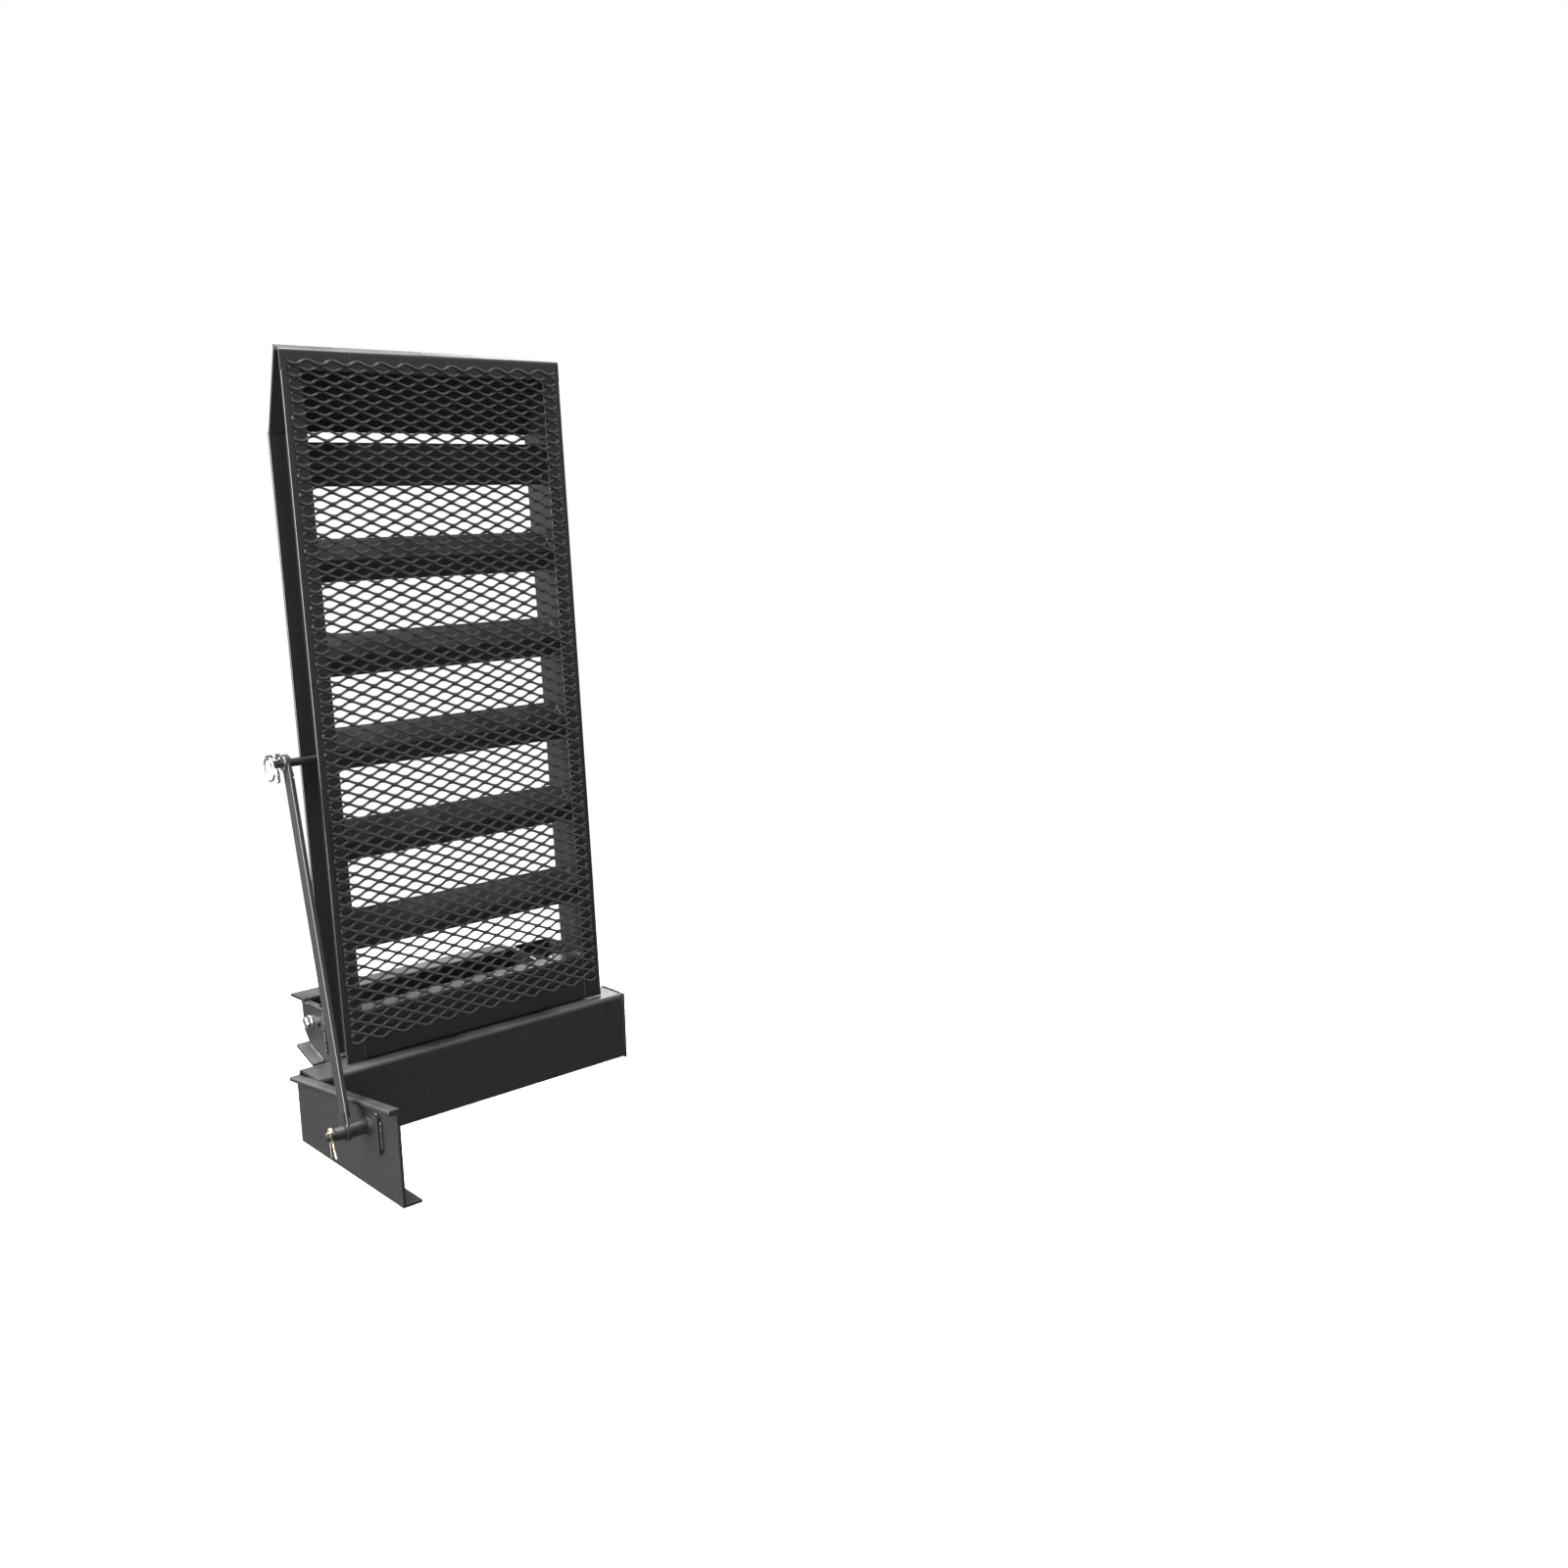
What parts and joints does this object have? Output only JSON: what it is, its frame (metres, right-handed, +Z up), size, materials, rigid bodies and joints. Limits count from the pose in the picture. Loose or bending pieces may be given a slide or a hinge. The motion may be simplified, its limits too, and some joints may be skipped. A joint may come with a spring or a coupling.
{
  "type": "folding loading ramp",
  "caption": "Stand-up trailer loading ramp: channel side rails, angle rungs and expanded-metal tread, hinged to a tail beam stub, with a swing brace and pin clips.",
  "frame": {"origin": "middle of the tail beam's forward face, across the ramp's own middle", "axes": "+Z up, +Y rearward in the direction the ramp folds down, +X to the right as seen from the trailer's deck looking back"},
  "size_m": [0.825, 0.6063, 1.5371],
  "materials": {
    "black_paint": "gloss black enamel over steel",
    "tread_paint": "gloss black enamel over raised expanded steel",
    "zinc_steel": "bright zinc plate",
    "yellow_zinc": "yellow zinc plate"
  },
  "bodies": {
    "trailer_tail": {"tail_beam": "black_paint", "beam_end_cap": "black_paint", "side_rail": "black_paint", "hinge_lugs_left": "black_paint", "hinge_lugs_right": "black_paint", "hinge_pin_left": "zinc_steel", "hinge_pin_right": "zinc_steel", "hinge_washers": "zinc_steel", "hinge_cotters": "zinc_steel", "brace_bracket": "black_paint", "pivot_sleeve": "black_paint", "brace_pivot_pin": "black_paint", "pivot_spacer": "black_paint"},
    "ramp": {"rail_left": "black_paint", "rail_right": "black_paint", "tip_cap": "black_paint", "tip_skid_plate": "black_paint", "foot_channel": "black_paint", "tread_mesh": "tread_paint", "heel_plate_left": "black_paint", "heel_plate_right": "black_paint", "hinge_barrel_left": "black_paint", "hinge_barrel_right": "black_paint", "heel_angle": "black_paint", "heel_inner_plate": "black_paint", "heel_box_plate": "black_paint", "heel_tab_left": "black_paint", "heel_tab_right": "black_paint", "heel_kick_plate": "black_paint", "heel_bolts": "zinc_steel", "heel_nuts": "zinc_steel", "heel_washers": "zinc_steel", "brace_stud": "black_paint", "stud_pad": "black_paint", "stud_collar": "black_paint", "stud_washer": "zinc_steel", "rung_1": "black_paint", "rung_2": "black_paint", "rung_3": "black_paint", "rung_4": "black_paint", "rung_5": "black_paint", "rung_6": "black_paint"},
    "brace": {"brace": "black_paint"},
    "linchpin": {"linchpin": "zinc_steel"},
    "linchpin_ring": {"linchpin_ring": "zinc_steel"},
    "hairpin": {"hairpin_clip": "yellow_zinc"}
  },
  "joints": [
    {"name": "ramp_fold", "type": "hinge", "parent": "trailer_tail", "child": "ramp", "pos_m": [0, 0.1224, 0.03013], "axis": [-1, 0, 0], "range_deg": [0, 112]},
    {"name": "brace_swing", "type": "hinge", "parent": "trailer_tail", "child": "brace", "pos_m": [-0.435, -0.23, 0.055], "axis": [1, 0, 0], "range_deg": [0, 98]},
    {"name": "linchpin_pull", "type": "slide", "parent": "ramp", "child": "linchpin", "axis": [0, 0.0349, 0.9994], "range_m": [0, 0.06]},
    {"name": "linchpin_ring_flip", "type": "hinge", "parent": "linchpin", "child": "linchpin_ring", "pos_m": [-0.385, 0.09068, 0.69765], "axis": [0, 0.9994, -0.0349], "range_deg": [0, 165]},
    {"name": "hairpin_pull", "type": "slide", "parent": "trailer_tail", "child": "hairpin", "axis": [0, 0, 1], "range_m": [0, 0.06]}
  ]
}
